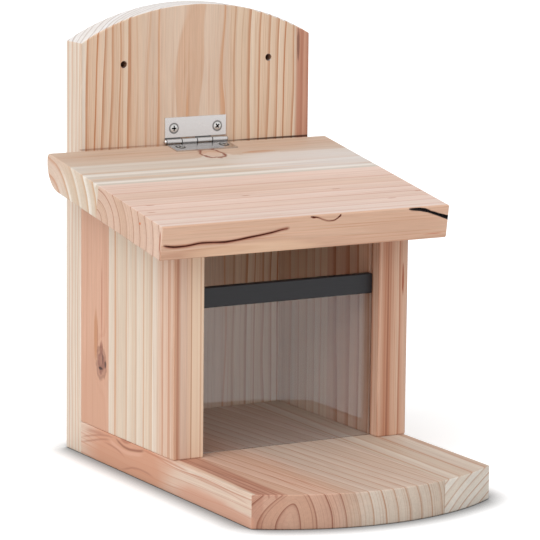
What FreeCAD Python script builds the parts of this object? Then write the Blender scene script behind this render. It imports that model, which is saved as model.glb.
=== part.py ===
import FreeCAD, Part
import math
import os

# Feeder box for squirrels: a hopper with a clear front stands on a deep base, under a sloping lid that is
# hinged to an arched backboard.
# X runs across the box, Y from the front towards the wall, Z up. The origin is on the ground, on the middle
# plane of the boards and midway between the front edge and the rear face. All sizes are in millimetres.

# Boards
board_t = 18.0
box_w = 142.0
edge_ease = 0.8
shoulder_z = 225.5
peak_z = 244.5
base_corner_depth = 191.0
base_middle_depth = 213.0
side_depth = 108.0

# Lid: its top plane meets the backboard's face at lid_top_z and falls towards the front, and the board lies
# lid_shift_x off the middle plane
lid_w = 172.0
lid_l = 134.0
lid_slope = math.radians(9.3)
lid_top_z = 168.0
lid_shift_x = -5.5
lid_back_gap = 1.1
lid_rear_top_round = 2.5
lid_rear_round = 15.0
lid_seat_gap = 0.2

# Holes in the backboard for the two screws that hold the box on a wall, post or tree
wall_hole_r = 2.0
wall_hole_spacing = 90.0
wall_hole_z = 213.0

# Clear pane in the grooves of the side panels, and the rail that caps its top edge
pane_t = 2.0
pane_recess = 7.5
pane_floor_gap = 0.2
pane_side_play = 0.6
groove_depth = 4.0
groove_play = 0.3
rail_top_z = 106.8
rail_h = 10.8
rail_wall = 1.3
rail_end_gap = 0.5
rail_corner_r = 0.6

# Butt hinge: both leaves are the same shape, and their wood faces stand axis_set away from the axis
hinge_l = 38.0
hinge_x = -1.0
leaf_reach = 13.2
leaf_t = 0.7
axis_set = 1.65
barrel_r = 1.5
notch_reach = 2.0
knuckles = 4
knuckle_gap = 0.2
pin_r = 0.85
pin_play = 0.05
pin_head_r = 1.5
pin_head_l = 1.2
pin_stub = 0.4
hinge_screw_spacing = 27.0
hinge_screw_reach = 7.2

# Wood screws: head radius, shank radius, length, height of the head's dome, width of the cross slots
hinge_screw = {"head_r": 2.6, "shank_r": 1.3, "length": 14.0, "dome_h": 0.4, "slot_w": 0.8}
board_screw = {"head_r": 3.5, "shank_r": 1.6, "length": 35.0, "dome_h": 0.0, "slot_w": 1.1}
# The cross recess, as shares of the head's radius: its reach and depth, and the reach left at its floor
cross_reach = 0.62
cross_depth = 0.55
cross_floor = 0.2
screw_tip_l = 3.0
screw_sink = 0.3
screw_turn = 37.0
back_screw_z = [45.0, 122.0]
back_base_screw_x = 40.0
base_screw_inset = [22.0, 83.0]

# Joins of faces under this angle count as smooth, and cutting shapes run past what they open by overrun
smooth_angle = math.radians(11)
overrun = 1.0

# Places that follow from the sizes above
sides = [-1, 1]
depth = board_t + base_middle_depth
back_y = depth / 2
wall_y = back_y - board_t
side_front_y = wall_y - side_depth
panel_mid_x = box_w / 2 - board_t / 2
inner_x = box_w / 2 - board_t
pane_front_y = side_front_y + pane_recess
axis_y = wall_y - axis_set
axis_z = lid_top_z - axis_set * math.tan(lid_slope) + axis_set / math.cos(lid_slope)
slope_degrees = math.degrees(lid_slope)


def vec(x, y, z):
    return FreeCAD.Vector(x, y, z)


def block(x0, x1, y0, y1, z0, z1):
    return Part.makeBox(x1 - x0, y1 - y0, z1 - z0, vec(x0, y0, z0))


def turned(shape, axis, degrees):
    return shape.rotated(vec(0, 0, 0), axis, degrees)


def tipped(shape, degrees):
    return turned(shape, vec(1, 0, 0), degrees)


def sharp_edges(shape):
    # Edges where two faces meet at more than smooth_angle, and not the seams where a round runs into a flat
    found = []
    for edge in shape.Edges:
        middle = edge.valueAt((edge.FirstParameter + edge.LastParameter) / 2)
        normals = []
        for face in shape.ancestorsOfType(edge, Part.Face):
            u, v = face.Surface.parameter(middle)
            normals.append(face.normalAt(u, v))
        if len(normals) == 2 and normals[0].getAngle(normals[1]) > smooth_angle:
            found.append(edge)
    return found


def eased(shape):
    return shape.makeFillet(edge_ease, sharp_edges(shape))


def bowed_board(corner_reach, middle_reach):
    # A board as wide as the box that lies in X and Y from y = 0, with an arc across its far end
    half = box_w / 2
    corners = [vec(half, corner_reach, 0), vec(half, 0, 0), vec(-half, 0, 0), vec(-half, corner_reach, 0)]
    edges = []
    for start, end in zip(corners, corners[1:]):
        edges.append(Part.LineSegment(start, end).toShape())
    edges.append(Part.Arc(corners[-1], vec(0, middle_reach, 0), corners[0]).toShape())
    return eased(Part.Face(Part.Wire(edges)).extrude(vec(0, 0, board_t)))


def lid_under_z(y):
    return lid_top_z - (wall_y - y) * math.tan(lid_slope) - board_t / math.cos(lid_slope)


def wood_screw(size, index):
    # A screw with its rim at the origin and its point below; the index turns its cross to its own angle
    head_r = size["head_r"]
    shank_r = size["shank_r"]
    length = size["length"]
    dome_h = size["dome_h"]
    neck_z = shank_r - head_r
    rim = vec(head_r, 0, 0)
    outline = [rim, vec(shank_r, 0, neck_z), vec(shank_r, 0, screw_tip_l - length), vec(0, 0, -length)]
    crown = vec(0, 0, dome_h)
    edges = []
    for start, end in zip(outline, outline[1:]):
        edges.append(Part.LineSegment(start, end).toShape())
    edges.append(Part.LineSegment(outline[-1], crown).toShape())
    if dome_h > 0:
        dome_r = (head_r**2 + dome_h**2) / (2 * dome_h)
        half_r = head_r / 2
        shoulder = vec(half_r, 0, dome_h - dome_r + math.sqrt(dome_r**2 - half_r**2))
        edges.append(Part.Arc(crown, shoulder, rim).toShape())
    else:
        edges.append(Part.LineSegment(crown, rim).toShape())
    screw = Part.Face(Part.Wire(edges)).revolve(vec(0, 0, 0), vec(0, 0, 1), 360)
    # The cross recess: two slots that narrow towards the bottom
    slot_w = size["slot_w"]
    slot_l = cross_reach * head_r
    recess_d = cross_depth * head_r
    slot = block(-slot_l, slot_l, -slot_w / 2, slot_w / 2, -recess_d, dome_h)
    cross = slot.fuse(turned(slot, vec(0, 0, 1), 90))
    cone = Part.makeCone(cross_floor * head_r, slot_l, recess_d + dome_h, vec(0, 0, -recess_d))
    screw = screw.cut(cross.common(cone))
    return turned(screw, vec(0, 0, 1), screw_turn * index)


def screw_hole(size):
    # The room that a screw takes below its rim, open above it
    head_r = size["head_r"]
    shank_r = size["shank_r"]
    length = size["length"]
    head_h = head_r - shank_r
    head = Part.makeCone(shank_r, head_r, head_h, vec(0, 0, -head_h))
    shank_l = length - screw_tip_l - head_h
    shank = Part.makeCylinder(shank_r, shank_l, vec(0, 0, screw_tip_l - length))
    tip = Part.makeCone(0, shank_r, screw_tip_l, vec(0, 0, -length))
    above = Part.makeCylinder(head_r, screw_sink + overrun)
    return head.fuse([shank, tip, above]).removeSplitter()


def driven(size, spots, degrees):
    # Screws at the given spots, tipped from pointing down to point into the wood, and the room they take
    screws = []
    holes = []
    for index, spot in enumerate(spots):
        screws.append(tipped(wood_screw(size, index), degrees).translated(spot))
        holes.append(tipped(screw_hole(size), degrees).translated(spot))
    return Part.makeCompound(screws), Part.makeCompound(holes)


def hinge_leaf(bore_r, holes):
    # One leaf about the hinge axis: a plate that stands up along Z, and every other knuckle from the left
    half = hinge_l / 2
    pitch = hinge_l / knuckles
    leaf = block(-half, half, axis_set - leaf_t, axis_set, 0, leaf_reach)
    for index in range(knuckles):
        x = index * pitch - half
        if index % 2 == 0:
            start = vec(x + knuckle_gap / 2, 0, 0)
            leaf = leaf.fuse(Part.makeCylinder(barrel_r, pitch - knuckle_gap, start, vec(1, 0, 0)))
        else:
            leaf = leaf.cut(block(x, x + pitch, 0, axis_set + overrun, -overrun, notch_reach))
    bore = Part.makeCylinder(bore_r, hinge_l + 2 * overrun, vec(-half - overrun, 0, 0), vec(1, 0, 0))
    return leaf.cut(bore).cut(holes).removeSplitter()


def hinge_pin():
    half = hinge_l / 2
    left = vec(-half, 0, 0)
    stem = Part.makeCylinder(pin_r, hinge_l + pin_stub, left, vec(1, 0, 0))
    dome_centre_x = (pin_head_l**2 - pin_head_r**2) / (2 * pin_head_l)
    dome_r = pin_head_l - dome_centre_x
    dome = Part.makeSphere(dome_r, left - vec(dome_centre_x, 0, 0))
    head = dome.common(block(-half - pin_head_l, -half, -pin_head_r, pin_head_r, -pin_head_r, pin_head_r))
    return stem.fuse(head).removeSplitter()


def on_wall(shape):
    return shape.translated(vec(hinge_x, axis_y, axis_z))


def on_lid(shape):
    # The same leaf turned end for end, with its plate down the lid's slope
    return on_wall(tipped(turned(shape, vec(0, 0, 1), 180), 90 + slope_degrees))


def backboard(holes):
    board = tipped(bowed_board(shoulder_z, peak_z), 90).translated(vec(0, back_y, 0))
    for side in sides:
        mouth = vec(side * wall_hole_spacing / 2, wall_y - overrun, wall_hole_z)
        board = board.cut(Part.makeCylinder(wall_hole_r, board_t + 2 * overrun, mouth, vec(0, 1, 0)))
    return board.cut(holes)


def base_board(holes):
    board = turned(bowed_board(base_corner_depth, base_middle_depth), vec(0, 0, 1), 180)
    return board.translated(vec(0, wall_y, 0)).cut(holes)


def left_side_panel(holes):
    seat = lid_seat_gap / math.cos(lid_slope)
    outline = [
        vec(-box_w / 2, wall_y, board_t),
        vec(-box_w / 2, side_front_y, board_t),
        vec(-box_w / 2, side_front_y, lid_under_z(side_front_y) - seat),
        vec(-box_w / 2, wall_y, lid_under_z(wall_y) - seat),
    ]
    panel = eased(Part.Face(Part.makePolygon(outline + outline[:1])).extrude(vec(board_t, 0, 0)))
    groove_y0 = pane_front_y - groove_play
    groove_y1 = pane_front_y + pane_t + groove_play
    floor_x = -inner_x - groove_depth
    groove = block(floor_x, -inner_x + overrun, groove_y0, groove_y1, board_t - overrun, lid_top_z)
    return panel.cut(groove).cut(holes)


def round_corner(corner, along, r):
    # A quarter round of radius r at a corner of an outline in Y and Z: along points into the board from it
    start = corner + vec(0, 0, along.z * r)
    end = corner + vec(0, along.y * r, 0)
    middle = corner + along * (r * (1 - math.sqrt(0.5)))
    return start, end, Part.Arc(start, middle, end).toShape()


def roof_lid(holes):
    # A flat board whose rear edge has a small round above and a large one below
    x0 = lid_shift_x - lid_w / 2
    front_top = vec(x0, -lid_l, 0)
    front_foot = vec(x0, -lid_l, -board_t)
    foot_start, foot_end, foot_round = round_corner(vec(x0, 0, -board_t), vec(0, -1, 1), lid_rear_round)
    top_start, top_end, top_round = round_corner(vec(x0, 0, 0), vec(0, -1, -1), lid_rear_top_round)
    edges = [foot_round, Part.LineSegment(foot_start, top_start).toShape(), top_round]
    front = [top_end, front_top, front_foot, foot_end]
    for start, end in zip(front, front[1:]):
        edges.append(Part.LineSegment(start, end).toShape())
    lid = eased(Part.Face(Part.Wire(edges)).extrude(vec(lid_w, 0, 0)))
    lid = tipped(lid.translated(vec(0, -lid_back_gap / math.cos(lid_slope), 0)), slope_degrees)
    return lid.translated(vec(0, wall_y, lid_top_z)).cut(holes)


def front_pane():
    half = inner_x + groove_depth - pane_side_play
    foot_z = board_t + pane_floor_gap
    return block(-half, half, pane_front_y, pane_front_y + pane_t, foot_z, rail_top_z - rail_wall)


def pane_rail():
    # A channel that grips the pane's top edge, with its outer edges rounded
    half = inner_x - rail_end_gap
    y0 = pane_front_y - rail_wall
    y1 = pane_front_y + pane_t + rail_wall
    rail = block(-half, half, y0, y1, rail_top_z - rail_h, rail_top_z)
    rail = rail.makeFillet(rail_corner_r, rail.Edges)
    return rail.cut(block(-half, half, pane_front_y, pane_front_y + pane_t, 0, rail_top_z - rail_wall))


def mirrored(shape):
    return shape.mirror(vec(0, 0, 0), vec(1, 0, 0))


back_head_y = back_y - screw_sink
back_side_spots = [vec(side * panel_mid_x, back_head_y, z) for side in sides for z in back_screw_z]
back_base_spots = [vec(side * back_base_screw_x, back_head_y, board_t / 2) for side in sides]
base_insets = [side_front_y + inset for inset in base_screw_inset]
base_side_spots = [vec(side * panel_mid_x, y, screw_sink) for side in sides for y in base_insets]
leaf_spots = [vec(side * hinge_screw_spacing / 2, axis_set - leaf_t, hinge_screw_reach) for side in sides]

back_side_screws, back_side_holes = driven(board_screw, back_side_spots, -90)
back_base_screws, back_base_holes = driven(board_screw, back_base_spots, -90)
base_side_screws, base_side_holes = driven(board_screw, base_side_spots, 180)
leaf_screws, leaf_holes = driven(hinge_screw, leaf_spots, 90)
left_panel = left_side_panel(Part.makeCompound([back_side_holes, base_side_holes]))

parts = {
    "backboard": backboard(Part.makeCompound([back_side_holes, back_base_holes, on_wall(leaf_holes)])),
    "base_board": base_board(Part.makeCompound([back_base_holes, base_side_holes])),
    "left_side_panel": left_panel,
    "right_side_panel": mirrored(left_panel),
    "roof_lid": roof_lid(on_lid(leaf_holes)),
    "front_pane": front_pane(),
    "pane_rail": pane_rail(),
    "hinge_wall_leaf": on_wall(hinge_leaf(pin_r, leaf_holes)),
    "hinge_lid_leaf": on_lid(hinge_leaf(pin_r + pin_play, leaf_holes)),
    "hinge_pin": on_wall(hinge_pin()),
    "hinge_wall_screws": on_wall(leaf_screws),
    "hinge_lid_screws": on_lid(leaf_screws),
    "back_to_side_screws": back_side_screws,
    "back_to_base_screws": back_base_screws,
    "base_to_side_screws": base_side_screws,
}

os.makedirs("parts", exist_ok=True)
for name, shape in parts.items():
    shape.exportStep("parts/" + name + ".step")
    print(name, "solids", len(shape.Solids), "valid", shape.isValid(), "mm3", round(shape.Volume, 1))
print("hinge axis y", round(axis_y, 3), "z", round(axis_z, 3))
room_above_rail = lid_under_z(pane_front_y - rail_wall) - rail_top_z
print("pane front y", round(pane_front_y, 3), "room above the rail", round(room_above_rail, 2))
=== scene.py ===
import math

import bmesh
import bpy
from mathutils import Matrix, Vector


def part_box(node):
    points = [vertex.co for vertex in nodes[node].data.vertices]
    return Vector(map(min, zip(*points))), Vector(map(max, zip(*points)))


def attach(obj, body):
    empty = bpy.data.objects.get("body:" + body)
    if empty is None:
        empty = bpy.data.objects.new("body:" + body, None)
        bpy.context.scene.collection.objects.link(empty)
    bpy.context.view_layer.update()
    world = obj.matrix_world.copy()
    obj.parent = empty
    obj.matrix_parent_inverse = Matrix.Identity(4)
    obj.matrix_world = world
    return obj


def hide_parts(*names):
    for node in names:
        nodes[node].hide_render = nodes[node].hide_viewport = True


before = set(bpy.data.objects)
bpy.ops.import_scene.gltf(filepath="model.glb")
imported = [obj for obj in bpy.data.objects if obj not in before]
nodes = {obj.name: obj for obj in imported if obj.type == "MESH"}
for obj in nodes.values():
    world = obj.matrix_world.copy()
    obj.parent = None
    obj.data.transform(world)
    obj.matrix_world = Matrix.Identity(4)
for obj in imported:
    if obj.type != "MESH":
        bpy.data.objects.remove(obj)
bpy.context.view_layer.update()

millimetre = 0.001
print("frame loaded:", len(nodes), "parts")


# The camera stands where the photograph was taken from: angles in radians, place in metres
cameraView = {
    "focalPixels": 3391.6,
    "framePixels": 540,
    "sensorWidth": 36.0,
    "azimuth": 0.51819,
    "pitch": 0.17138,
    "roll": 0.01039,
    "place": (-0.88100, -1.53075, 0.41745),
}


def placeObject(name, data):
    thing = bpy.data.objects.new(name, data)
    bpy.context.scene.collection.objects.link(thing)
    return thing


def makeCamera(values):
    data = bpy.data.cameras.new("photoCamera")
    data.sensor_width = values["sensorWidth"]
    data.lens = values["focalPixels"] / values["framePixels"] * values["sensorWidth"]
    camera = placeObject("photoCamera", data)
    azimuth, pitch, roll = values["azimuth"], values["pitch"], values["roll"]
    level = math.cos(pitch)
    ahead = Vector((math.sin(azimuth) * level, math.cos(azimuth) * level, -math.sin(pitch)))
    right = Vector((math.cos(azimuth), -math.sin(azimuth), 0))
    up = right.cross(ahead)
    tiltedRight = right * math.cos(roll) + up * math.sin(roll)
    tiltedUp = up * math.cos(roll) - right * math.sin(roll)
    turn = Matrix((tiltedRight, tiltedUp, -ahead)).transposed()
    camera.matrix_world = Matrix.Translation(values["place"]) @ turn.to_4x4()
    bpy.context.scene.camera = camera


makeCamera(cameraView)
bpy.context.scene.view_settings.view_transform = "Standard"
print("camera placed")


# Small tools for building materials

def paint(red, green, blue):
    # A colour as a painting program shows it, from 0 to 255, turned into linear light as screens do
    channels = []
    for value in (red, green, blue):
        share = value / 255
        channels.append(share / 12.92 if share <= 0.04045 else ((share + 0.055) / 1.055) ** 2.4)
    return (*channels, 1.0)


def startMaterial(name, values):
    material = bpy.data.materials.new(name)
    material.use_nodes = True
    shader = material.node_tree.nodes["Principled BSDF"]
    for label, value in values.items():
        shader.inputs[label].default_value = value
    return material, material.node_tree, shader


def addNode(tree, kind, **settings):
    node = tree.nodes.new(kind)
    for name, value in settings.items():
        setattr(node, name, value)
    return node


def feed(tree, socket, value):
    if isinstance(value, bpy.types.NodeSocket):
        tree.links.new(value, socket)
    else:
        socket.default_value = value


def calc(tree, operation, *values, clamp=False):
    node = addNode(tree, "ShaderNodeMath", operation=operation, use_clamp=clamp)
    for socket, value in zip(node.inputs, values):
        feed(tree, socket, value)
    return node.outputs[0]


def product(tree, value, *others):
    for other in others:
        value = calc(tree, "MULTIPLY", value, other)
    return value


def scaleAdd(tree, value, factor, offset):
    return calc(tree, "MULTIPLY_ADD", value, factor, offset)


def calcVector(tree, operation, *values, output="Vector"):
    node = addNode(tree, "ShaderNodeVectorMath", operation=operation)
    for socket, value in zip(node.inputs, values):
        feed(tree, socket, value)
    return node.outputs[output]


def splitVector(tree, vector):
    node = addNode(tree, "ShaderNodeSeparateXYZ")
    feed(tree, node.inputs[0], vector)
    return node.outputs


def objectPlace(tree):
    return addNode(tree, "ShaderNodeTexCoord").outputs["Object"]


def smoothStep(tree, value, low, high):
    node = addNode(tree, "ShaderNodeMapRange", interpolation_type="SMOOTHSTEP")
    feed(tree, node.inputs["Value"], value)
    feed(tree, node.inputs["From Min"], low)
    feed(tree, node.inputs["From Max"], high)
    return node.outputs["Result"]


def fadeOut(tree, value, low, high):
    return calc(tree, "SUBTRACT", 1.0, smoothStep(tree, value, low, high))


def mixColours(tree, share, first, second, blend="MIX"):
    # A Mix node's colours are its inputs 6 and 7 and its output 2
    node = addNode(tree, "ShaderNodeMix", data_type="RGBA", blend_type=blend)
    feed(tree, node.inputs["Factor"], share)
    feed(tree, node.inputs[6], first)
    feed(tree, node.inputs[7], second)
    return node.outputs[2]


def shadeColour(tree, colour, level):
    # Darkens or lightens all three channels by the same level
    grey = addNode(tree, "ShaderNodeCombineColor")
    for socket in grey.inputs:
        feed(tree, socket, level)
    return mixColours(tree, 1.0, colour, grey.outputs[0], "MULTIPLY")


def noise(tree, vector, scale, detail=2.0, roughness=0.5, output="Fac"):
    node = addNode(tree, "ShaderNodeTexNoise")
    feed(tree, node.inputs["Vector"], vector)
    feed(tree, node.inputs["Scale"], scale)
    feed(tree, node.inputs["Detail"], detail)
    feed(tree, node.inputs["Roughness"], roughness)
    return node.outputs[output]


def noiseAlong(tree, value):
    node = addNode(tree, "ShaderNodeTexNoise", noise_dimensions="1D")
    feed(tree, node.inputs["W"], value)
    feed(tree, node.inputs["Scale"], 1.0)
    return node.outputs["Fac"]


def addBump(tree, shader, height, bump):
    node = addNode(tree, "ShaderNodeBump")
    node.inputs["Strength"].default_value = bump["strength"]
    node.inputs["Distance"].default_value = bump["distance"]
    tree.links.new(height, node.inputs["Height"])
    tree.links.new(node.outputs["Normal"], shader.inputs["Normal"])


def startGroup(name, vectors, numbers, outputs):
    group = bpy.data.node_groups.new(name, "ShaderNodeTree")
    for kind, labels in (("NodeSocketVector", vectors), ("NodeSocketFloat", numbers)):
        for label in labels:
            group.interface.new_socket(name=label, in_out="INPUT", socket_type=kind)
    for label in outputs:
        group.interface.new_socket(name=label, in_out="OUTPUT", socket_type="NodeSocketFloat")
    source = group.nodes.new("NodeGroupInput")
    target = group.nodes.new("NodeGroupOutput")
    return group, source.outputs, target.inputs


def placeGroup(tree, group, **values):
    node = addNode(tree, "ShaderNodeGroup", node_tree=group)
    for label, value in values.items():
        feed(tree, node.inputs[label], value)
    return node.outputs


# Board space: x across the board's width, y through its thickness, z along its grain, in metres

# How rings wander, and how one year's wood changes from its first growth at 0 to its last at 1; the three
# late values are multiples of a strip's share of late wood, counted from 1
ringShape = {
    "driftStretch": (1, 1, 0.16),
    "driftScale": 38.0,
    "unevenPace": 0.37,
    "unevenReach": 4.0,
    "lateFrom": -2.4,
    "lateFull": -0.45,
    "lateUntil": -0.25,
    "faintestLate": 0.35,
    "warmFrom": 0.35,
    "freshSteps": (0.05, 0.45),
    "veinPace": 8.0,
    "veinSteps": (0.5, 0.78),
}


def makeGrowthRings(values):
    # Yearly rings round a pith line that leans a little, as a saw meets them on any face of a board
    numbers = ["pithAcross", "pithThrough", "lean", "flatten", "ringWidth", "waver", "uneven", "phase",
               "lateShare", "swell", "tip", "bow"]
    outputs = ["fresh", "warm", "late", "veins", "ringTone"]
    group, given, result = startGroup("growthRings", ["place"], numbers, outputs)
    place = given["place"]
    stretched = calcVector(group, "MULTIPLY", place, values["driftStretch"])
    drift = noise(group, stretched, values["driftScale"], output="Color")
    parts = splitVector(group, place)
    bends = splitVector(group, calcVector(group, "SUBTRACT", drift, (0.5, 0.5, 0.5)))
    leaned = scaleAdd(group, parts["Z"], given["lean"], given["pithAcross"])
    across = calc(group, "SUBTRACT", parts["X"], leaned)
    across = scaleAdd(group, bends["X"], given["waver"], across)
    height = product(group, parts["Y"], parts["Y"])
    across = calc(group, "SUBTRACT", across, product(group, height, given["tip"]))
    through = calc(group, "SUBTRACT", parts["Y"], given["pithThrough"])
    through = product(group, through, given["flatten"])
    through = scaleAdd(group, bends["Y"], given["waver"], through)
    acrossSquare = product(group, across, across)
    throughSquare = product(group, through, through)
    radius = calc(group, "SQRT", calc(group, "ADD", acrossSquare, throughSquare))
    radius = calc(group, "ADD", radius, given["swell"])
    radius = scaleAdd(group, height, given["bow"], radius)
    years = calc(group, "ADD", calc(group, "DIVIDE", radius, given["ringWidth"]), given["phase"])
    spread = noiseAlong(group, product(group, years, values["unevenPace"]))
    reach = product(group, given["uneven"], values["unevenReach"])
    years = scaleAdd(group, calc(group, "SUBTRACT", spread, 0.5), reach, years)
    season = calc(group, "FRACT", years)

    share = given["lateShare"]
    lateFrom = scaleAdd(group, share, values["lateFrom"], 1.0)
    lateFull = scaleAdd(group, share, values["lateFull"], 1.0)
    lateUntil = scaleAdd(group, share, values["lateUntil"], 1.0)
    falling = smoothStep(group, season, 1.0, lateUntil)
    dice = addNode(group, "ShaderNodeTexWhiteNoise", noise_dimensions="1D")
    feed(group, dice.inputs["W"], calc(group, "FLOOR", years))
    chances = addNode(group, "ShaderNodeSeparateColor")
    feed(group, chances.inputs[0], dice.outputs["Color"])
    faintest = values["faintestLate"]
    strength = scaleAdd(group, chances.outputs[0], 1.0 - faintest, faintest)
    rising = smoothStep(group, season, lateFrom, lateFull)
    feed(group, result["late"], product(group, rising, falling, strength))
    warm = smoothStep(group, season, values["warmFrom"], lateFull)
    feed(group, result["warm"], product(group, warm, falling))
    fresh = fadeOut(group, season, *values["freshSteps"])
    feed(group, result["fresh"], product(group, fresh, chances.outputs[1]))
    feed(group, result["ringTone"], dice.outputs["Value"])
    ripple = noiseAlong(group, product(group, years, values["veinPace"]))
    feed(group, result["veins"], smoothStep(group, ripple, *values["veinSteps"]))
    return group


fibreShape = {"scale": 1.0, "detail": 3.0, "roughness": 0.6}


def makeFibres(values):
    # Fine streaks that run along the grain; on end grain they show as specks
    group, given, result = startGroup("fibres", ["place"], ["acrossSize", "alongSize"], ["streak"])
    parts = splitVector(group, given["place"])
    joined = addNode(group, "ShaderNodeCombineXYZ")
    for axis, size in (("X", "acrossSize"), ("Y", "acrossSize"), ("Z", "alongSize")):
        feed(group, joined.inputs[axis], calc(group, "DIVIDE", parts[axis], given[size]))
    feed(group, result["streak"], noise(group, joined.outputs[0], **values))
    return group


# A mark's parts by their distance from its middle, as shares of its half size
spotShape = {
    "raggedScale": 1.7,
    "coreSteps": (0.55, 1.0),
    "rimStarts": (0.78, 0.95),
    "rimEnds": (1.0, 1.22),
    "swellFade": -0.55,
}


def makeSpot(values):
    # A ragged oval mark at a place in the board, with its core, its rim and a swell that bends rings round it
    vectors = ["place", "centre", "size"]
    group, given, result = startGroup("spot", vectors, ["ragged"], ["core", "rim", "swell"])
    fromCentre = calcVector(group, "SUBTRACT", given["place"], given["centre"])
    offset = calcVector(group, "DIVIDE", fromCentre, given["size"])
    rough = calc(group, "SUBTRACT", noise(group, offset, values["raggedScale"]), 0.5)
    distance = calcVector(group, "LENGTH", offset, output="Value")
    radius = scaleAdd(group, rough, given["ragged"], distance)
    feed(group, result["core"], fadeOut(group, radius, *values["coreSteps"]))
    rimIn = smoothStep(group, radius, *values["rimStarts"])
    rimOut = fadeOut(group, radius, *values["rimEnds"])
    feed(group, result["rim"], product(group, rimIn, rimOut))
    square = product(group, radius, radius)
    fading = calc(group, "EXPONENT", product(group, square, values["swellFade"]))
    feed(group, result["swell"], fading)
    return group


growthRings = makeGrowthRings(ringShape)
fibres = makeFibres(fibreShape)
spot = makeSpot(spotShape)
print("shader groups made")


# The finish of every board: fibre sizes in metres, and how much a streak changes the wood's brightness
woodFinish = {
    "endGrainSteps": (0.45, 0.8),
    "toneDepths": (0.06, 0.10, 0.15),
    "streaks": [
        {"depth": 0.16, "fibres": {"acrossSize": 0.012, "alongSize": 0.14}},
        {"depth": 0.2, "fibres": {"acrossSize": 0.0016, "alongSize": 0.09}},
        {"depth": 0.3, "fibres": {"acrossSize": 0.00045, "alongSize": 0.018}},
    ],
    "hairs": {"acrossSize": 0.0009, "alongSize": 0.12},
    "hairSteps": (0.56, 0.7),
    "hairShare": 0.5,
    "roughness": 0.52,
    "fibreRoughness": 0.18,
    "lateRise": 0.5,
    "fibreRise": 0.7,
    "bump": {"strength": 0.35, "distance": 0.00012},
    "shine": 0.35,
}
# What a strip has unless it says otherwise. It blends in over soft millimetres on each side of its start, its
# wood is the colours of fresh growth, body and late growth, tip and bow curve its rings through the board,
# and allOfEnds lets it cover all the end grain
plainStrip = {"lean": 0.0, "flatten": 1.0, "waver": 1.0, "uneven": 0.3, "phase": 0.0, "tip": 0.0, "bow": 0.0,
              "warmShare": 0.12, "veinShare": 0.3, "variety": 1.0, "soft": 0.15, "allOfEnds": False}
# A stain in millimetres: its fades along its route, its depth into the board, and the room round its stops
stainEdges = {"fade": 2.0, "lead": 0.5, "depth": 1.2, "spare": 1.0}


def boardSpace(tree, origin, acrossAxis, throughAxis):
    # Object coordinates, turned to the board's own axes about its own corner
    acrossAxis, throughAxis = Vector(acrossAxis), Vector(throughAxis)
    alongAxis = acrossAxis.cross(throughAxis)
    turn = Matrix((acrossAxis, throughAxis, alongAxis)).transposed()
    mapping = addNode(tree, "ShaderNodeMapping", vector_type="TEXTURE")
    mapping.inputs["Location"].default_value = origin
    mapping.inputs["Rotation"].default_value = turn.to_euler()
    tree.links.new(objectPlace(tree), mapping.inputs["Vector"])
    return mapping.outputs["Vector"], alongAxis


def endGrainShare(tree, alongAxis):
    # 1 on faces that the saw cut straight across the grain
    normal = addNode(tree, "ShaderNodeTexCoord").outputs["Normal"]
    facing = calcVector(tree, "DOT_PRODUCT", normal, alongAxis, output="Value")
    return smoothStep(tree, calc(tree, "ABSOLUTE", facing), *woodFinish["endGrainSteps"])


def ringColour(tree, strip, place, swell, endGrain):
    rings = placeGroup(
        tree, growthRings, place=place, swell=swell,
        pithAcross=strip["pith"][0] * millimetre, pithThrough=strip["pith"][1] * millimetre,
        ringWidth=strip["ringWidth"] * millimetre, waver=strip["waver"] * millimetre,
        **{name: strip[name] for name in ("lean", "flatten", "uneven", "phase", "lateShare", "tip", "bow")},
    )
    fresh, body, late = (paint(*colour) for colour in strip["wood"])
    if "endBody" in strip:
        body = mixColours(tree, endGrain, body, paint(*strip["endBody"]))
        fresh = mixColours(tree, endGrain, fresh, paint(*strip.get("endFresh", strip["endBody"])))
    if "endLate" in strip:
        late = mixColours(tree, endGrain, late, paint(*strip["endLate"]))
    colour = mixColours(tree, rings["fresh"], body, fresh)
    colour = mixColours(tree, product(tree, rings["warm"], strip["warmShare"]), colour, late)
    colour = mixColours(tree, product(tree, rings["veins"], strip["veinShare"]), colour, late)
    colour = mixColours(tree, rings["late"], colour, late)
    shade = addNode(tree, "ShaderNodeCombineColor")
    for socket, depth in zip(shade.inputs, woodFinish["toneDepths"]):
        depth = depth * strip["variety"]
        feed(tree, socket, scaleAdd(tree, rings["ringTone"], depth, 1.0 - depth / 2))
    return mixColours(tree, 1.0, colour, shade.outputs[0], "MULTIPLY"), rings["late"]


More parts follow.
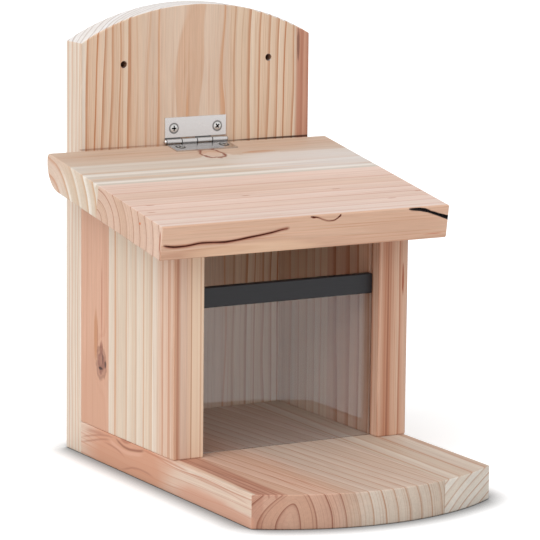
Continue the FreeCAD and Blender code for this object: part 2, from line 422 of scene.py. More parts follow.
def routeBand(tree, parts, band):
    # A soft stain along a route of (along, through) stops on a long side or end face, as a share from 0 to 1
    stops = band["stops"]
    first, last = stops[0][0], stops[-1][0]
    low = min(stop[1] for stop in stops) - stainEdges["spare"]
    span = max(stop[1] for stop in stops) + stainEdges["spare"] - low
    forward = product(tree, parts["Z"], -1 / millimetre)
    share = calc(tree, "DIVIDE", calc(tree, "SUBTRACT", forward, first), last - first, clamp=True)
    route = addNode(tree, "ShaderNodeFloatCurve")
    points = route.mapping.curves[0].points
    for point, stop in zip((points[0], points[1]), (stops[0], stops[-1])):
        point.location = ((stop[0] - first) / (last - first), (stop[1] - low) / span)
    for stop in stops[1:-1]:
        points.new((stop[0] - first) / (last - first), (stop[1] - low) / span)
    route.mapping.update()
    feed(tree, route.inputs["Value"], share)
    middle = scaleAdd(tree, route.outputs[0], span, low)
    level = product(tree, parts["Y"], 1 / millimetre)
    offset = calc(tree, "ABSOLUTE", calc(tree, "SUBTRACT", level, middle))
    stain = fadeOut(tree, offset, band["inner"], band["outer"])
    fade, lead = band.get("fade", stainEdges["fade"]), stainEdges["lead"]
    before = smoothStep(tree, forward, first - lead, first + fade)
    after = fadeOut(tree, forward, last - fade, last + lead)
    edge = abs(band["face"])
    outward = product(tree, parts["X"], math.copysign(1 / millimetre, band["face"]))
    onFace = smoothStep(tree, outward, edge - stainEdges["depth"], edge)
    return product(tree, stain, before, after, onFace, band["share"])


def joinStrips(tree, board, place, swell, endGrain):
    # The board's strips laid side by side: their colour and where their late wood is
    across = splitVector(tree, place)["X"]
    colour, late = None, None
    for values in board["strips"]:
        strip = {**plainStrip, **values}
        stripColour, stripLate = ringColour(tree, strip, place, swell, endGrain)
        if colour is None:
            colour, late = stripColour, stripLate
            continue
        soft, edge = strip["soft"] * millimetre, strip["start"] * millimetre
        share = smoothStep(tree, across, edge - soft, edge + soft)
        if strip["allOfEnds"]:
            share = calc(tree, "MAXIMUM", share, endGrain)
        colour = mixColours(tree, share, colour, stripColour)
        older = product(tree, late, calc(tree, "SUBTRACT", 1.0, share))
        late = calc(tree, "ADD", older, product(tree, stripLate, share))
    return colour, late


def woodMaterial(name, board):
    finish = woodFinish
    material, tree, shader = startMaterial(name, {"Specular IOR Level": finish["shine"]})
    place, alongAxis = boardSpace(tree, board["origin"], board["acrossAxis"], board["throughAxis"])
    endGrain = endGrainShare(tree, alongAxis)

    swell = 0.0
    spots = []
    for mark in board["marks"]:
        centre = [value * millimetre for value in mark["centre"]]
        size = [value * millimetre for value in mark["size"]]
        made = placeGroup(tree, spot, place=place, centre=centre, size=size, ragged=mark["ragged"])
        spots.append((mark, made))
        if "swell" in mark:
            lift = product(tree, made["swell"], mark["swell"] * millimetre)
            swell = calc(tree, "ADD", lift, swell)
    colour, late = joinStrips(tree, board, place, swell, endGrain)

    thin = placeGroup(tree, fibres, place=place, **finish["hairs"])["streak"]
    alongGrain = product(tree, thin, calc(tree, "SUBTRACT", 1.0, endGrain))
    hairs = smoothStep(tree, alongGrain, *finish["hairSteps"])
    hairShare = product(tree, hairs, board.get("hairShare", finish["hairShare"]))
    colour = mixColours(tree, hairShare, colour, paint(*board["hairTint"]), "MULTIPLY")
    for streak in finish["streaks"]:
        fibre = placeGroup(tree, fibres, place=place, **streak["fibres"])["streak"]
        level = scaleAdd(tree, fibre, streak["depth"], 1.0 - streak["depth"] / 2)
        colour = shadeColour(tree, colour, level)

    for mark, made in spots:
        for part in ("core", "rim"):
            if part in mark:
                share = product(tree, made[part], mark[part + "Share"])
                colour = mixColours(tree, share, colour, paint(*mark[part]))
    parts = splitVector(tree, place)
    for band in board.get("stains", []):
        colour = mixColours(tree, routeBand(tree, parts, band), colour, paint(*band["colour"]))

    tree.links.new(colour, shader.inputs["Base Color"])
    # The last and finest fibres also make the surface uneven
    roughness = scaleAdd(tree, fibre, finish["fibreRoughness"], finish["roughness"])
    tree.links.new(roughness, shader.inputs["Roughness"])
    fibreHeight = product(tree, fibre, finish["fibreRise"])
    height = scaleAdd(tree, late, finish["lateRise"], fibreHeight)
    addBump(tree, shader, height, finish["bump"])
    return material


def dress(material, *names):
    for name in names:
        for holder in nodes[name].material_slots:
            holder.material = material


def patch(centre, size, ragged, colour, share=1.0, **more):
    # A mark: its centre and half size in millimetres, how ragged it is, its colour and how much of it shows
    return {"centre": centre, "size": size, "ragged": ragged, "core": colour, "coreShare": share, **more}


# Corners that the boards' grain starts from, read from the frame
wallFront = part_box("backboard")[0].y
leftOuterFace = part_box("left_side_panel")[0].x
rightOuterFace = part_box("right_side_panel")[1].x

# The lid's own axes run down its slope, out of its top and along its grain, from its rear top edge; its slope
# is in degrees and its sizes in millimetres
lidPlace = {"slope": 9.3, "topAtWall": 168.0, "backGap": 1.1, "length": 134.0}
slope = math.radians(lidPlace["slope"])
downSlope = Vector((0, -math.cos(slope), -math.sin(slope)))
outOfSlope = Vector((0, -math.sin(slope), math.cos(slope)))
lidTop = lidPlace["topAtWall"] - lidPlace["backGap"] * math.tan(slope)
lidOrigin = Vector((0, wallFront - lidPlace["backGap"] * millimetre, lidTop * millimetre))

# Flaws in the lid's front edge: each stop is its place along X, its height against the top edge and the half
# width, in millimetres
crackRoute = [(-90.0, -9.9, 0.3), (-86.5, -10.7, 0.75), (-83.0, -11.1, 0.8), (-77.0, -11.0, 0.65),
              (-68.4, -10.0, 0.7), (-61.0, -10.2, 0.55), (-54.0, -10.5, 0.85), (-47.0, -9.9, 0.75),
              (-40.0, -9.0, 0.85), (-34.5, -8.4, 0.7), (-26.5, -7.3, 0.65), (-21.0, -6.2, 0.4),
              (-16.6, -5.7, 0.1)]
looseKnotRoute = [(-4.6, -0.6, 0.5), (-2.8, -0.9, 1.1), (-0.9, -1.0, 0.45), (3.0, -2.5, 0.13),
                  (6.6, -3.5, 0.16), (9.6, -3.4, 0.4), (11.5, -2.5, 0.6), (12.8, -1.4, 1.1),
                  (13.8, -0.7, 1.2)]
barkRoute = [(55.2, -0.5, 0.5), (58.0, -0.8, 1.3), (62.0, -1.1, 1.8), (65.5, -1.8, 2.0), (67.4, -2.4, 1.5),
             (69.0, -3.1, 1.2), (71.5, -3.9, 1.6), (74.0, -4.8, 1.5), (77.0, -5.8, 2.0), (80.4, -6.9, 2.4)]

backRings = {"pith": (-6, -62), "ringWidth": 3.3, "waver": 7.0, "uneven": 0.32, "lateShare": 0.15,
             "lean": 0.01, "endBody": (232, 227, 224), "endLate": (178, 160, 150)}
backboardWood = {
    "origin": (0, wallFront, 0),
    "acrossAxis": (1, 0, 0),
    "throughAxis": (0, 1, 0),
    "hairTint": (216, 168, 132),
    "strips": [
        {**backRings, "wood": [(228, 216, 204), (219, 203, 186), (206, 160, 128)]},
        {**backRings, "start": -68.5, "soft": 0.6,
         "wood": [(229, 209, 188), (221, 193, 168), (180, 105, 46)]},
        {**backRings, "start": -34, "soft": 6, "warmShare": 0.04, "variety": 0.2,
         "wood": [(220, 196, 175), (217, 191, 169), (204, 154, 118)]},
        {**backRings, "start": 21, "soft": 2,
         "wood": [(229, 211, 190), (221, 195, 170), (174, 99, 40)]},
        {"start": 62.5, "soft": 1.5, "pith": (30, 50), "ringWidth": 2.6, "waver": 4.0, "lateShare": 0.3,
         "wood": [(204, 160, 136), (196, 146, 123), (172, 110, 84)],
         "endBody": (236, 214, 200), "endLate": (196, 146, 124)},
    ],
    "marks": [
        # Streaks under the arch and over the hinge, then painted shade in the gap above the lid to the right
        # and the left
        patch((64, 0, 219), (1.1, 4, 11), 0.6, (110, 70, 56), 0.7),
        patch((-6, 0, 172), (0.9, 4, 34), 0.8, (206, 140, 88), 0.45),
        patch((75, 0, 167.8), (75, 2, 0.7), 0.1, (60, 26, 12), 0.9),
        patch((-75, 0, 167.8), (75, 2, 0.6), 0.1, (146, 92, 66), 0.5),
    ],
}

baseRings = {"pith": (-65, 0), "lean": 0.1, "flatten": 0.15, "tip": 9.1, "bow": 19.9, "ringWidth": 7.2,
             "waver": 2.0, "uneven": 0.05, "phase": 0.17, "veinShare": 0.45}
sideStain = {"face": -71, "inner": 0.1, "outer": 0.9, "share": 0.5, "fade": 9.0, "colour": (164, 106, 84)}
baseWood = {
    "origin": (0, 0, 0),
    "acrossAxis": (1, 0, 0),
    "throughAxis": (0, 0, 1),
    "hairTint": (218, 166, 138),
    "hairShare": 0.7,
    "strips": [
        {"pith": (-64, -52), "ringWidth": 6.6, "waver": 20.0, "uneven": 0.2, "lateShare": 0.06,
         "variety": 0.8, "wood": [(226, 207, 190), (220, 197, 178), (190, 134, 110)]},
        {**baseRings, "start": -69, "soft": 1.0, "lateShare": 0.1, "allOfEnds": True,
         "wood": [(188, 138, 116), (180, 129, 108), (150, 94, 74)],
         "endBody": (184, 138, 116), "endLate": (132, 80, 60)},
        {**baseRings, "start": -66, "soft": 0.8, "lateShare": 0.08,
         "wood": [(196, 150, 128), (190, 142, 120), (158, 100, 78)],
         "endBody": (192, 150, 128), "endLate": (132, 80, 60)},
        {**baseRings, "start": -56, "soft": 1.5, "lateShare": 0.07,
         "wood": [(215, 181, 160), (209, 172, 150), (176, 119, 92)],
         "endBody": (193, 153, 131), "endLate": (134, 82, 62)},
        {**baseRings, "start": -24, "soft": 12, "lateShare": 0.08,
         "wood": [(212, 193, 178), (204, 182, 165), (178, 130, 102)],
         "endBody": (206, 190, 174), "endLate": (174, 128, 98)},
        {"start": 32.3, "pith": (90, -60), "ringWidth": 4.8, "waver": 1.5, "uneven": 0.2, "lateShare": 0.1,
         "wood": [(213, 198, 182), (205, 187, 170), (182, 134, 104)],
         "endBody": (226, 217, 205), "endLate": (190, 146, 116)},
    ],
    "marks": [
        # Pale and dark lines on the top, and the joint between two strips
        patch((-68.6, 18, 30), (1.8, 3, 70), 0.2, (226, 194, 170), 0.8),
        patch((-63.5, 18, 60), (0.7, 3, 80), 0.6, (150, 94, 74), 0.6),
        patch((-60.2, 18, 90), (0.9, 3, 60), 0.6, (156, 98, 76), 0.55),
        patch((-57.4, 18, 40), (0.5, 3, 60), 0.6, (150, 94, 74), 0.5),
        patch((32.3, 9, 0), (0.4, 16, 300), 0.3, (150, 102, 76), 0.45),
        # The left side: its rear, its front, a dark spot at its top, and a place where the rings bend
        patch((-73, 6, -42), (6, 40, 70), 0.3, (203, 147, 118), 0.9),
        patch((-71, 0, 54), (3, 11.5, 66), 0.6, (207, 153, 128), 0.8),
        patch((-71, 18.5, -44), (3, 2.6, 7.5), 0.4, (166, 106, 82), 0.7),
        {"centre": (-71, 12, -60), "size": (3, 4, 26), "ragged": 0.2, "swell": 5.0},
    ],
    "stains": [
        {**sideStain, "stops": [(21.3, 17.1), (32.7, 14.8), (42.9, 14.1), (50.2, 15.3), (56.1, 17.6)],
         "outer": 1.2, "colour": (142, 88, 66), "share": 0.8, "fade": 5.0},
        {**sideStain, "stops": [(21.2, 15.4), (32.7, 12.7), (44.3, 11.7), (56.1, 13.1), (66.5, 15.8)],
         "inner": 0.3, "outer": 1.7, "colour": (220, 174, 152), "share": 0.55},
        {**sideStain, "stops": [(42.8, 7.2), (48.7, 10.1), (59, 11.8), (71, 12.2)]},
        {**sideStain, "stops": [(59.1, 14.9), (66.5, 14.1), (86.1, 9.5), (98.3, 6.3)]},
        {**sideStain, "stops": [(56.1, 16.9), (66.5, 16.2), (86.1, 12.3), (98.3, 9.1)]},
        {**sideStain, "stops": [(66.5, 16.5), (81.5, 15.6), (93.7, 14.6)], "outer": 1.6, "share": 0.45},
        {**sideStain, "stops": [(9.8, 4.3), (21.2, 5.6), (32.7, 5.2), (41.4, 3.2), (50.1, 0.9)]},
        {**sideStain, "stops": [(-29, 15.8), (-12.5, 16.3), (-1.4, 16.7), (9.9, 16.7), (27, 17.3)],
         "colour": (184, 118, 88), "share": 0.6},
        {**sideStain, "stops": [(-92.9, 15.4), (-71.1, 15), (-47.6, 14.9), (-23.5, 15.1)], "outer": 0.7,
         "colour": (190, 142, 118)},
        {**sideStain, "stops": [(-92.9, 12), (-78, 13.3), (-62.9, 14.1), (-34.4, 14.4)], "outer": 0.6,
         "colour": (190, 144, 122)},
    ],
}

leftRings = {"pith": (160, 270), "ringWidth": 4.6, "waver": 1.5, "uneven": 0.25, "lateShare": 0.1}
leftSideWood = {
    "origin": (leftOuterFace, 0, 0),
    "acrossAxis": (0, 1, 0),
    "throughAxis": (-1, 0, 0),
    "hairTint": (222, 176, 146),
    "strips": [
        {**leftRings, "wood": [(222, 200, 182), (217, 186, 164), (190, 132, 102)]},
        {**leftRings, "start": 8, "soft": 8.0, "warmShare": 0.08,
         "wood": [(226, 214, 200), (218, 201, 182), (202, 154, 120)]},
        {"start": 63.8, "pith": (80, 60), "ringWidth": 5.0, "waver": 5.0, "lateShare": 0.2,
         "wood": [(218, 176, 152), (213, 169, 145), (196, 144, 118)]},
    ],
    "marks": [
        # Stripes on the front edge
        patch((-10.5, -13.6, 60), (3, 6.5, 400), 0.1, (238, 213, 186), 0.7),
        patch((-10.5, -1.9, 60), (4, 2.6, 400), 0.1, (194, 142, 112), 0.5),
        patch((-10.5, -2.5, 60), (4, 0.9, 400), 0.2, (170, 112, 86), 0.5),
        patch((-10.5, -10.3, 60), (4, 0.5, 400), 0.2, (182, 126, 94), 0.7),
        patch((-10.5, -15.8, 60), (4, 0.5, 400), 0.2, (200, 150, 116), 0.6),
        # The outer face: its lower rear, a line near the front, and streaks by the knot
        patch((84, 0, 22), (21, 6, 55), 0.1, (202, 154, 128), 0.6),
        patch((-4.6, 0, 60), (1.0, 3, 400), 0.3, (188, 130, 100), 0.7),
        patch((79.2, 0, 69), (2.7, 6, 17), 0.4, (190, 134, 96), 0.85),
        patch((76.9, 0, 67), (0.6, 6, 13), 0.7, (168, 106, 78), 0.6),
        patch((72.2, 0, 88), (0.6, 4, 28), 0.4, (172, 100, 76), 0.75),
        # The knot, with its lighter heart and dark cracks
        patch((72.6, 0, 63), (2.4, 6, 5), 0.4, (158, 104, 84), 0.8),
        patch((72.7, 0, 55), (5.6, 8, 8.6), 0.75, (138, 92, 78), 0.9,
              swell=4.0, rim=(112, 68, 54), rimShare=0.45),
        patch((72.9, 0, 56.5), (2.8, 6, 3.6), 0.9, (176, 128, 108), 0.5),
        patch((67.9, 0, 54.9), (1.3, 4, 2.6), 0.8, (72, 42, 34), 0.9),
        patch((73.4, 0, 52), (2.9, 4, 1.0), 0.8, (60, 36, 30), 0.95),
        patch((70.9, 0, 57.5), (0.7, 4, 3.6), 0.8, (84, 52, 42), 0.8),
    ],
}

rightSideWood = {
    "origin": (rightOuterFace, 0, 0),
    "acrossAxis": (0, 1, 0),
    "throughAxis": (-1, 0, 0),
    "hairTint": (216, 168, 138),
    "strips": [
        {"pith": (60, -90), "ringWidth": 3.6, "waver": 3.0, "uneven": 0.35, "lateShare": 0.18,
         "warmShare": 0.25, "wood": [(216, 186, 164), (209, 170, 146), (174, 112, 82)]},
        {"start": 44, "pith": (150, 120), "ringWidth": 5.5, "waver": 2.5, "lateShare": 0.12,
         "wood": [(230, 214, 196), (226, 202, 180), (206, 158, 126)]},
    ],
    "marks": [
        # Warm stripes on the front edge
        patch((-10.5, 13.2, 80), (8, 3.4, 300), 0.4, (180, 122, 92), 0.6),
        patch((-10.5, 12.2, 40), (5, 0.8, 110), 0.5, (146, 88, 62), 0.7),
        patch((-10.5, 3.1, 103), (4, 0.75, 10), 0.7, (158, 84, 54), 0.9),
    ],
}

rearRings = {"pith": (0, -39), "ringWidth": 9.6, "waver": 3.0, "uneven": 0.15, "lateShare": 0.14}
frontRings = {"pith": (62, -18), "flatten": 1.3, "ringWidth": 7.15, "waver": 2.5, "uneven": 0.1,
              "lateShare": 0.07, "warmShare": 0.1, "variety": 1.2, "endLate": (162, 102, 78)}
faceStain = {"face": 134, "inner": 0.2}
lidWood = {
    "origin": lidOrigin,
    "acrossAxis": downSlope,
    "throughAxis": outOfSlope,
    "hairTint": (222, 180, 152),
    "strips": [
        {**rearRings, "wood": [(206, 184, 166), (199, 172, 152), (188, 146, 120)],
         "endBody": (212, 187, 168), "endLate": (194, 148, 120)},
        {**rearRings, "start": 22, "soft": 12, "warmShare": 0.1,
         "wood": [(218, 212, 204), (206, 194, 182), (200, 175, 154)],
         "endBody": (210, 192, 172), "endFresh": (244, 240, 232), "endLate": (200, 160, 126)},
        {**frontRings, "start": 61.6, "wood": [(225, 201, 188), (221, 194, 179), (202, 154, 132)],
         "endBody": (210, 178, 156)},
        {**frontRings, "start": 119, "soft": 9, "wood": [(228, 208, 197), (223, 201, 189), (206, 160, 140)],
         "endBody": (218, 188, 168)},
        {**frontRings, "start": 132.6, "soft": 0.6,
         "wood": [(221, 184, 159), (216, 177, 151), (194, 146, 120)], "endBody": (218, 188, 168)},
    ],
    "marks": [
        # The knot at the hinge's leaf, and the orange and pale wood beside it
        patch((20.4, 0, 1.8), (7.9, 14, 6.6), 0.7, (204, 160, 132), 0.35,
              swell=5.0, rim=(130, 66, 42), rimShare=0.9),
        patch((24.2, 0, -4.4), (1.8, 14, 1.3), 0.6, (128, 70, 46), 0.7),
        patch((22.5, 0, -27), (2.8, 6, 12), 0.9, (184, 126, 88), 0.5, swell=2.5),
        patch((42, 0, -50), (22, 4, 60), 0.3, (222, 214, 212), 0.45),
        # Lines along the pale strip, then the shade at the backboard
        patch((57.6, 0, 10), (2.0, 3, 170), 0.5, (238, 232, 225), 0.6),
        patch((51.2, 0, 30), (1.1, 3, 120), 0.7, (222, 186, 152), 0.4),
        patch((45, 0, 50), (1.6, 3, 120), 0.6, (236, 228, 218), 0.5),
        patch((0.1, 0, -80), (0.9, 2, 80), 0.25, (60, 26, 12), 0.9),
        patch((0.1, 0, 80), (0.8, 2, 80), 0.25, (140, 88, 62), 0.5),
        # The front edge, with painted light on the lower part of its left half, and the left end's resin
        patch((134, -15.5, 36), (3, 4.5, 46), 0.4, (234, 198, 166), 0.55),
        patch((134, -9, -56), (3, 6, 30), 0.5, (200, 154, 128), 0.3),
        patch((110.2, -5.4, 91.5), (0.9, 0.9, 0.9), 0.2, (205, 110, 62)),
        patch((132.8, -8, 91.5), (0.8, 7, 1.2), 0.4, (165, 95, 66), 0.8),
        patch((134, -15.2, -72), (3, 0.4, 7), 0.5, (188, 110, 84), 0.6),
    ],
    "stains": [
        {**faceStain, "stops": crackRoute, "outer": 1.5, "share": 0.85, "colour": (146, 76, 52)},
        {**faceStain, "stops": looseKnotRoute, "outer": 0.9, "share": 0.6, "colour": (150, 88, 62)},
        {**faceStain, "stops": barkRoute, "inner": 0.5, "outer": 1.5, "share": 0.75, "colour": (120, 84, 68)},
    ],
}

# The wall holes' insides, painted dark as shade: a mark for the bore and a smaller one for its lip, each with
# the depth of its middle, its half width and how far it reaches through the board
holeShade = {"places": [-45, 45], "height": 213, "colour": (118, 72, 46),
             "marks": [(9, 8, 9), (1.6, 2.9, 1.6)]}
for along in holeShade["places"]:
    for middle, width, reach in holeShade["marks"]:
        centre = (along, middle, holeShade["height"])
        backboardWood["marks"].append(patch(centre, (width, reach, width), 0.0, holeShade["colour"]))

# Small resin flecks in the lid's top, each as far down the slope and along X as listed
resinFlecks = {
    "places": [(98.7, -80.2), (109.9, -85.2), (94.2, 33.6), (115.6, 55.7), (107.0, 77.6), (94.3, -21.4)],
    "size": (0.55, 0.5, 3.4),
    "ragged": 0.5,
    "colour": (176, 110, 84),
    "share": 0.8,
}
for down, along in resinFlecks["places"]:
    look = (resinFlecks[name] for name in ("size", "ragged", "colour", "share"))
    lidWood["marks"].append(patch((down, 0, -along), *look))

dress(woodMaterial("backboardGrain", backboardWood), "backboard")
dress(woodMaterial("baseGrain", baseWood), "base_board")
dress(woodMaterial("leftSideGrain", leftSideWood), "left_side_panel")
dress(woodMaterial("rightSideGrain", rightSideWood), "right_side_panel")
print("boards dressed")


# How deep the flaws go, as a share of their half width, and the dark, crumbly wood inside them
lidFlaws = {
    "crack": {"route": crackRoute, "depthShare": 2.6, "colour": (78, 36, 24)},
    "looseKnot": {"route": looseKnotRoute, "depthShare": 1.6, "colour": (92, 46, 32)},
    "bark": {"route": barkRoute, "depthShare": 1.3, "colour": (26, 19, 20)},
}
hollowFinish = {"scale": 900.0, "detail": 3.0, "lighter": 1.7, "roughness": 0.85}
# How far the cutters stand proud of the face and what counts as one corner, in millimetres, and which of the
# lid's faces and edges stay sharp
carving = {"proud": 0.6, "weldReach": 0.001, "flatShare": 0.9995, "sharpAngle": 24}


def hollowMaterial(name, colour):
    material, tree, shader = startMaterial(name + "Hollow", {"Roughness": hollowFinish["roughness"]})
    mottle = noise(tree, objectPlace(tree), hollowFinish["scale"], hollowFinish["detail"])
    lighter = [value * hollowFinish["lighter"] for value in colour]
    tree.links.new(mixColours(tree, mottle, paint(*colour), paint(*lighter)), shader.inputs["Base Color"])
    return material


def lidPoint(down, through, along):
    return lidOrigin + (downSlope * down + outOfSlope * through + Vector((1, 0, 0)) * along) * millimetre


def grooveCutter(flaw, materialIndex):
    # A three-cornered bar along the route, as wide at each stop as the flaw is there
    faceAt = lidPlace["length"]
    route = flaw["route"]
    along, through, half = route[0]
    outside, deepest = faceAt + carving["proud"], faceAt - half * flaw["depthShare"]
    corners = [(outside, through + half), (outside, through - half), (deepest, through)]
    bm = bmesh.new()
    end = bm.faces.new([bm.verts.new(lidPoint(down, level, along)) for down, level in corners])
    for start, stop in zip(route, route[1:]):
        grown = bmesh.ops.extrude_face_region(bm, geom=[end])["geom"]
        verts = [item for item in grown if isinstance(item, bmesh.types.BMVert)]
        end = next(item for item in grown if isinstance(item, bmesh.types.BMFace))
        here = lidPoint(faceAt, start[1], start[0])
        there = lidPoint(faceAt, stop[1], stop[0])
        bmesh.ops.translate(bm, verts=verts, vec=there - here)
        growth = stop[2] / start[2]
        bmesh.ops.scale(bm, verts=verts, vec=(1, growth, growth), space=Matrix.Translation(-there))
    bmesh.ops.recalc_face_normals(bm, faces=bm.faces)
    for face in bm.faces:
        face.material_index = materialIndex
    return bm


def carve(piece, cutter):
    # Cuts one bar out of the piece for good
    mesh = bpy.data.meshes.new("cutter")
    cutter.to_mesh(mesh)
    cutter.free()
    tool = placeObject("cutter", mesh)
    cut = piece.modifiers.new("cut", "BOOLEAN")
    cut.operation = "DIFFERENCE"
    cut.solver = "EXACT"
    cut.object = tool
    shaped = bpy.data.meshes.new_from_object(piece.evaluated_get(bpy.context.evaluated_depsgraph_get()))
    piece.modifiers.clear()
    piece.data = shaped
    bpy.data.objects.remove(tool)


def makeCarvedLid(material):
    bm = bmesh.new()
    bm.from_mesh(nodes["roof_lid"].data)
    bmesh.ops.remove_doubles(bm, verts=bm.verts, dist=carving["weldReach"] * millimetre)
    mesh = bpy.data.meshes.new("carvedLid")
    bm.to_mesh(mesh)
    bm.free()
    # The frame's own corner normals don't fit the carved faces
    mesh.attributes.remove(mesh.attributes["custom_normal"])
    mesh.materials.clear()
    mesh.materials.append(material)
    for name, flaw in lidFlaws.items():
        mesh.materials.append(hollowMaterial(name, flaw["colour"]))
    piece = placeObject("carvedLid", mesh)
    for index, flaw in enumerate(lidFlaws.values()):
        carve(piece, grooveCutter(flaw, index + 1))
    piece.data.name = "carvedLid"
    for polygon in piece.data.polygons:
        # Smooth shading is only for the rounded edges; the board's flat faces stay flat
        facing = [abs(polygon.normal.dot(axis)) for axis in (downSlope, outOfSlope, Vector((1, 0, 0)))]
        polygon.use_smooth = max(facing) < carving["flatShare"]
    piece.data.set_sharp_from_angle(angle=math.radians(carving["sharpAngle"]))
    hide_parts("roof_lid")
    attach(piece, "lid")
    print("lid carved:", len(piece.data.polygons), "faces")


makeCarvedLid(woodMaterial("lidGrain", lidWood))


# The hinge in millimetres: screwReach is from its pin to a screw, and faceDrop from the pin to a leaf's face
hinge = {"middle": -1.0, "length": 38.0, "knuckles": 4, "axisY": 95.85, "axisZ": 169.402, "barrel": 1.5,
         "screwSpacing": 27.0, "screwReach": 7.2, "screwHead": 2.75, "faceDrop": 0.95}
# Painted shade in its crevices: pairs are distances in millimetres at which the painted shade is full and at
# which it ends
paintedSteelShade = {"colour": (30, 27, 25), "ringRagged": 0.12, "ringShare": 0.6, "overBarrel": (0.1, 0.35),
             "seam": (0.12, 0.4), "besideAt": 0.5, "beside": (0.15, 0.5), "besideShare": 0.85,
             "recessBlur": 0.3, "roughness": 0.4}
satinSteel = {"colour": (0.585, 0.565, 0.558), "roughness": 0.26, "brushSize": (0.012, 0.0003, 0.0003)}
screwSteel = {"colour": (0.68, 0.67, 0.65), "roughness": 0.28, "brushSize": (0.0004, 0.0004, 0.0004)}
# How much the brushing and the clouds change a steel's brightness and roughness
steelFinish = {"brushNoise": {"scale": 1.0, "detail": 2.0, "roughness": 0.6}, "brushTone": 0.05,
               "brushRoughness": 0.06, "cloudNoise": {"scale": 220.0, "detail": 3.0}, "cloudTone": 0.05,
               "cloudRoughness": 0.04, "bump": {"strength": 0.05, "distance": 0.00003}}
# Each set of screws: the way its heads face, and how far under them, in millimetres, their recess gets
# painted shade
screwSets = [
    {"material": "wallLeafScrewSteel", "outward": (0, -1, 0), "sink": 0.15, "pieces": ["hinge_wall_screws"]},
    {"material": "lidLeafScrewSteel", "outward": outOfSlope, "sink": 0.05, "pieces": ["hinge_lid_screws"]},
    {"material": "backScrewSteel", "outward": (0, 1, 0), "sink": 0.1,
     "pieces": ["back_to_side_screws", "back_to_base_screws"]},
    {"material": "baseScrewSteel", "outward": (0, 0, -1), "sink": 0.1, "pieces": ["base_to_side_screws"]},
]
darkRail = {"colour": (0.008, 0.008, 0.011), "roughness": 0.42, "shine": 0.42, "grainScale": 2600.0,
            "grainRoughness": 0.2, "brushSize": (0.012, 0.0003, 0.0003), "brushDetail": 3.0, "brushTone": 1.1,
            "leastTone": 0.45, "bump": {"strength": 0.12, "distance": 0.00004}}
clearSheet = {"colour": (0.9, 0.93, 0.97), "roughness": 0.0, "refraction": 1.49,
              "shadowTint": (0.7, 0.71, 0.72)}


def steelMaterial(name, values, makePaintedShade):
    finish = steelFinish
    material, tree, shader = startMaterial(name, {"Metallic": 1.0})
    place = objectPlace(tree)
    brushed = noise(tree, calcVector(tree, "DIVIDE", place, values["brushSize"]), **finish["brushNoise"])
    clouds = noise(tree, place, **finish["cloudNoise"])
    darkest = 1.0 - (finish["brushTone"] + finish["cloudTone"]) / 2
    level = scaleAdd(tree, brushed, finish["brushTone"], darkest)
    level = scaleAdd(tree, clouds, finish["cloudTone"], level)
    colour = shadeColour(tree, (*values["colour"], 1.0), level)
    # Painted shade: this mask darkens the steel in its crevices and recesses and makes it rougher there
    paintedShade = makePaintedShade(tree, place)
    tree.links.new(mixColours(tree, paintedShade, colour, paint(*paintedSteelShade["colour"])), shader.inputs["Base Color"])
    smoothest = values["roughness"] - (finish["brushRoughness"] + finish["cloudRoughness"]) / 2
    rough = scaleAdd(tree, brushed, finish["brushRoughness"], smoothest)
    rough = scaleAdd(tree, clouds, finish["cloudRoughness"], rough)
    rough = scaleAdd(tree, paintedShade, paintedSteelShade["roughness"], rough)
    tree.links.new(rough, shader.inputs["Roughness"])
    addBump(tree, shader, brushed, finish["bump"])
    return material


def nearLine(tree, value, middle, inner, outer):
    # 1 within the inner distance of a value, 0 past the outer one, in millimetres
    offset = calc(tree, "SUBTRACT", product(tree, value, 1 / millimetre), middle)
    return fadeOut(tree, calc(tree, "ABSOLUTE", offset), inner, outer)


def screwPlaces():
    # The middles of the four hinge screws' heads
    axis = Vector((hinge["middle"], hinge["axisY"], hinge["axisZ"])) * millimetre
    sunk = hinge["faceDrop"] * millimetre
    places = []
    for side in (-1, 1):
        sideways = Vector((side * hinge["screwSpacing"] / 2 * millimetre, 0, 0))
        up = Vector((0, 0, hinge["screwReach"] * millimetre))
        places.append(axis + sideways + up + Vector((0, sunk, 0)))
        places.append(axis + sideways + downSlope * hinge["screwReach"] * millimetre - outOfSlope * sunk)
    return places


def hingePaintedShade(tree, place):
    # Painted shade: dark rings round the screw heads, and dark lines between the knuckles and beside the
    # barrel, where shade falls
    paintedShade = 0.0
    head = hinge["screwHead"] * millimetre
    for middle in screwPlaces():
        mark = placeGroup(tree, spot, place=place, centre=middle, size=(head, head, head),
                          ragged=paintedSteelShade["ringRagged"])
        paintedShade = calc(tree, "MAXIMUM", product(tree, mark["rim"], paintedSteelShade["ringShare"]), paintedShade)
    radial = calcVector(tree, "MULTIPLY", place, (0, 1, 1))
    axisMiddle = (0, hinge["axisY"] * millimetre, hinge["axisZ"] * millimetre)
    toAxis = calcVector(tree, "LENGTH", calcVector(tree, "SUBTRACT", radial, axisMiddle), output="Value")
    barrel = hinge["barrel"]
    onBarrel = nearLine(tree, toAxis, 0.0, *(barrel + over for over in paintedSteelShade["overBarrel"]))
    along = splitVector(tree, place)["X"]
    pitch = hinge["length"] / hinge["knuckles"]
    for index in range(hinge["knuckles"] + 1):
        seamAt = hinge["middle"] - hinge["length"] / 2 + index * pitch
        seam = product(tree, nearLine(tree, along, seamAt, *paintedSteelShade["seam"]), onBarrel)
        paintedShade = calc(tree, "MAXIMUM", seam, paintedShade)
    besideBarrel = nearLine(tree, toAxis, barrel + paintedSteelShade["besideAt"], *paintedSteelShade["beside"])
    return calc(tree, "MAXIMUM", product(tree, besideBarrel, paintedSteelShade["besideShare"]), paintedShade)


def recessPaintedShade(axis, level):
    # Painted shade below a level along an axis: the cross recess, which lies under the screw's rim, is
    # darkened
    blur = paintedSteelShade["recessBlur"] * millimetre

    def makePaintedShade(tree, place):
        along = calcVector(tree, "DOT_PRODUCT", place, axis, output="Value")
        return fadeOut(tree, along, level - blur, level)
    return makePaintedShade


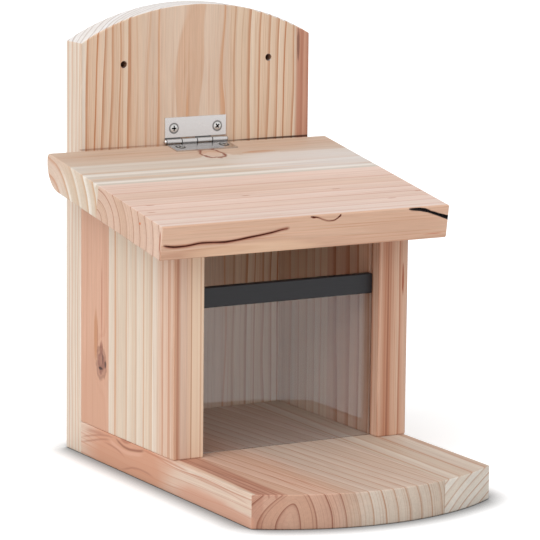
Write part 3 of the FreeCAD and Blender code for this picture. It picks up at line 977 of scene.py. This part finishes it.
def screwMaterial(values):
    # The screws' outer ends lie in one plane across the outward axis; their recess starts that far under it
    # and is painted dark as shade
    outward = Vector(values["outward"])
    corners = nodes[values["pieces"][0]].data.vertices
    top = max(Vector(corner.co).dot(outward) for corner in corners)
    recessShade = recessPaintedShade(outward, top - values["sink"] * millimetre)
    return steelMaterial(values["material"], screwSteel, recessShade)


dress(steelMaterial("satinSteel", satinSteel, hingePaintedShade), "hinge_wall_leaf", "hinge_lid_leaf", "hinge_pin")
for screwSet in screwSets:
    dress(screwMaterial(screwSet), *screwSet["pieces"])


def railMaterial(values):
    material, tree, shader = startMaterial("darkRail", {"Specular IOR Level": values["shine"]})
    place = objectPlace(tree)
    grainy = noise(tree, place, values["grainScale"])
    brushed = noise(tree, calcVector(tree, "DIVIDE", place, values["brushSize"]), 1.0, values["brushDetail"])
    level = scaleAdd(tree, brushed, values["brushTone"], values["leastTone"])
    tree.links.new(shadeColour(tree, (*values["colour"], 1.0), level), shader.inputs["Base Color"])
    smoothest = values["roughness"] - values["grainRoughness"] / 2
    rough = scaleAdd(tree, grainy, values["grainRoughness"], smoothest)
    tree.links.new(rough, shader.inputs["Roughness"])
    addBump(tree, shader, grainy, values["bump"])
    return material


def paneMaterial(values):
    look = {"Base Color": (*values["colour"], 1.0), "Roughness": values["roughness"],
            "IOR": values["refraction"], "Transmission Weight": 1.0}
    material, tree, shader = startMaterial("clearSheet", look)
    lightPath = addNode(tree, "ShaderNodeLightPath")
    seeThrough = addNode(tree, "ShaderNodeBsdfTransparent")
    seeThrough.inputs["Color"].default_value = (*values["shadowTint"], 1.0)
    blend = addNode(tree, "ShaderNodeMixShader")
    tree.links.new(lightPath.outputs["Is Shadow Ray"], blend.inputs[0])
    tree.links.new(shader.outputs[0], blend.inputs[1])
    tree.links.new(seeThrough.outputs[0], blend.inputs[2])
    tree.links.new(blend.outputs[0], tree.nodes["Material Output"].inputs["Surface"])
    return material


dress(railMaterial(darkRail), "pane_rail")
dress(paneMaterial(clearSheet), "front_pane")
print("metal and plastic dressed")


# Room: a white floor that keeps the contact shadow, a white world and three wide, soft suns
room = {
    "floorSize": 30.0,
    "floorColour": 0.85,
    "floorRoughness": 0.9,
    "floorGlow": 0.4,
    "contactReach": 0.017,
    "contactDepth": 1.9,
    "contactSamples": 16,
    "worldLight": 0.58,
    "suns": [
        {"name": "keyLight", "towards": (-0.62, -0.38, 0.68), "strength": 1.5, "spread": 60.0},
        {"name": "lowLight", "towards": (-0.72, -0.68, 0.12), "strength": 0.5, "spread": 80.0},
        {"name": "topLight", "towards": (0.0, 0.0, 1.0), "strength": 0.13, "spread": 80.0},
    ],
}


def seenShare(tree):
    # 1 for what the camera sees, also mirrored or through the pane, and 0 for what lights the object
    rays = addNode(tree, "ShaderNodeLightPath").outputs
    indirect = calc(tree, "MAXIMUM", rays["Is Glossy Ray"], rays["Is Transmission Ray"])
    return calc(tree, "MAXIMUM", rays["Is Camera Ray"], indirect)


def makeFloor(values):
    bm = bmesh.new()
    bmesh.ops.create_grid(bm, x_segments=1, y_segments=1, size=values["floorSize"] / 2)
    mesh = bpy.data.meshes.new("floor")
    bm.to_mesh(mesh)
    bm.free()
    floor = placeObject("floor", mesh)
    look = {"Roughness": values["floorRoughness"], "Specular IOR Level": 0.0, "Emission Color": (1, 1, 1, 1)}
    material, tree, shader = startMaterial("floorPaper", look)
    near = addNode(tree, "ShaderNodeAmbientOcclusion", samples=values["contactSamples"])
    near.inputs["Distance"].default_value = values["contactReach"]
    openShare = calc(tree, "POWER", near.outputs["AO"], values["contactDepth"])
    shade = values["floorColour"]
    tree.links.new(shadeColour(tree, (shade, shade, shade, 1.0), openShare), shader.inputs["Base Color"])
    glow = product(tree, openShare, values["floorGlow"])
    tree.links.new(product(tree, seenShare(tree), glow), shader.inputs["Emission Strength"])
    mesh.materials.append(material)


def makeWorld(values):
    world = bpy.data.worlds.new("studio")
    bpy.context.scene.world = world
    world.use_nodes = True
    tree = world.node_tree
    background = tree.nodes["Background"]
    light = values["worldLight"]
    strength = scaleAdd(tree, seenShare(tree), 1.0 - light, light)
    tree.links.new(strength, background.inputs["Strength"])
    background.inputs["Color"].default_value = (1, 1, 1, 1)


def makeSuns(values):
    for sun in values["suns"]:
        data = bpy.data.lights.new(sun["name"], "SUN")
        data.energy = sun["strength"]
        data.angle = math.radians(sun["spread"])
        holder = placeObject(sun["name"], data)
        holder.rotation_euler = Vector(sun["towards"]).to_track_quat("Z", "Y").to_euler()


makeFloor(room)
makeWorld(room)
makeSuns(room)
print("room and lamps made")
